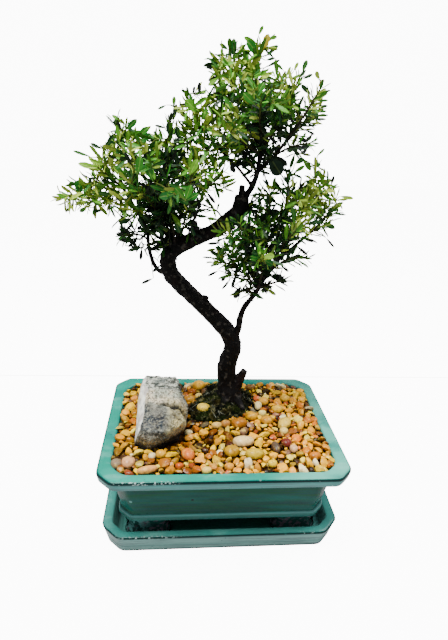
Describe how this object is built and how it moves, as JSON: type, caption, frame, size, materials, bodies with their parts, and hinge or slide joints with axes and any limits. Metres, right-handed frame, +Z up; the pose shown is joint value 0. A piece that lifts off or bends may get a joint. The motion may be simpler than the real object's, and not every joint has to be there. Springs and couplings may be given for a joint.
{
  "type": "boxleaf eugenia bonsai",
  "caption": "Bonsai tree with small spoon-shaped leaves, set with gravel, moss and a boulder in a rectangular glazed pot on a matching tray.",
  "frame": {"origin": "centre of the tray's flat underside", "axes": "+Z up, +X along the pot's long side, -Y towards the front"},
  "size_m": [0.2744, 0.1949, 0.4308],
  "materials": {
    "glaze": "glossy turquoise glaze, darker at the edges",
    "soil": "coarse dark potting grit",
    "net": "matte",
    "gravel": "polished river pebbles",
    "moss": "dark fibrous moss",
    "rock": "rough speckled grey",
    "bark": "dark rough bark",
    "leaf": "smooth living leaf"
  },
  "bodies": {
    "root": {"tray": "glaze", "pot": "glaze", "drain_screen_left": "net", "drain_screen_right": "net", "soil": "soil", "gravel": "gravel", "moss": "moss", "rock": "rock", "tree_wood": "bark", "spray_left_far": "leaf", "spray_left_outer": "leaf", "spray_left_high": "leaf", "spray_left_mid": "leaf", "spray_left_tall": "leaf", "spray_left_inner": "leaf", "spray_left_fore": "leaf", "spray_left_low": "leaf", "spray_left_near": "leaf", "spray_left_front": "leaf", "spray_left_rear": "leaf", "spray_left_back": "leaf", "spray_left_sprig": "leaf", "spray_top_mid": "leaf", "spray_top_left": "leaf", "spray_top_right": "leaf", "spray_top_edge": "leaf", "spray_top_side": "leaf", "spray_top_low": "leaf", "spray_top_rim": "leaf", "spray_top_far": "leaf", "spray_top_inner": "leaf", "spray_top_front": "leaf", "spray_top_rear": "leaf", "spray_top_back": "leaf", "spray_right_edge": "leaf", "spray_right_left": "leaf", "spray_right_mid": "leaf", "spray_right_tall": "leaf", "spray_right_high": "leaf", "spray_right_side": "leaf", "spray_right_low": "leaf", "spray_right_inner": "leaf", "spray_right_front": "leaf", "spray_right_rear": "leaf", "spray_right_near": "leaf", "spray_right_under": "leaf", "spray_right_drop": "leaf"}
  },
  "joints": []
}
